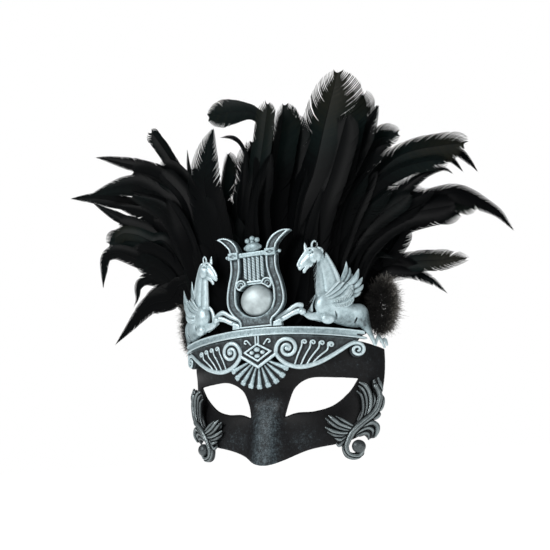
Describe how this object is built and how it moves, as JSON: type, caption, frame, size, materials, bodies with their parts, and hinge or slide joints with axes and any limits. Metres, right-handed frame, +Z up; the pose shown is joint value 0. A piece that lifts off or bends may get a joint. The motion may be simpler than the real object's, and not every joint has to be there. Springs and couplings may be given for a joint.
{
  "type": "venetian masquerade mask",
  "caption": "Half face masquerade mask: moulded shell with two eye openings, a cast silver crest with a lyre and winged horses, cheek leaf sprays and a fan of feathers along the brow.",
  "frame": {"origin": "the point inside the nose bridge that rests on the wearer's brow", "axes": "+X to the viewer's right across the mask, -Y the way the mask looks, +Z up"},
  "size_m": [0.3655, 0.0477, 0.276],
  "materials": {
    "shell": "satin black paint over moulded plastic, rubbed with a little silver on the nose and cheeks",
    "silver": "cast resin painted antique silver, near-black patina in the recesses",
    "pewter": "cast resin painted dark pewter with rubbed bright ridges",
    "feather": "dyed black cock feathers with a dark green sheen",
    "down": "soft grey-brown marabou down",
    "felt": "thin black felt"
  },
  "bodies": {
    "root": {"acanthus_left": "pewter", "acanthus_pearl_left": "pewter", "acanthus_pearl_right": "pewter", "acanthus_right": "pewter", "crest_bar": "silver", "diamond_boss": "silver", "down_trim_left": "down", "down_trim_right": "down", "feather_01": "feather", "feather_02": "feather", "feather_03": "feather", "feather_04": "feather", "feather_05": "feather", "feather_06": "feather", "feather_07": "feather", "feather_08": "feather", "feather_09": "feather", "feather_10": "feather", "feather_11": "feather", "feather_12": "feather", "feather_13": "feather", "feather_14": "feather", "feather_15": "feather", "feather_16": "feather", "feather_17": "feather", "feather_18": "feather", "feather_19": "feather", "feather_20": "feather", "feather_21": "feather", "feather_22": "feather", "feather_23": "feather", "feather_24": "feather", "feather_25": "feather", "feather_26": "feather", "feather_27": "feather", "feather_band": "felt", "frieze_panel_left": "silver", "frieze_panel_right": "silver", "horse_left": "silver", "horse_right": "silver", "lyre_dome": "silver", "lyre_finial": "silver", "lyre_frame": "silver", "lyre_string_1": "silver", "lyre_string_2": "silver", "lyre_string_3": "silver", "lyre_string_4": "silver", "lyre_string_5": "silver", "lyre_tailpiece": "silver", "lyre_yoke": "silver", "mask_shell": "shell", "shell_fan": "silver", "tie_pad_left": "felt", "tie_pad_right": "felt", "wing_far_left": "silver", "wing_far_right": "silver", "wing_near_left": "silver", "wing_near_right": "silver"}
  },
  "joints": []
}
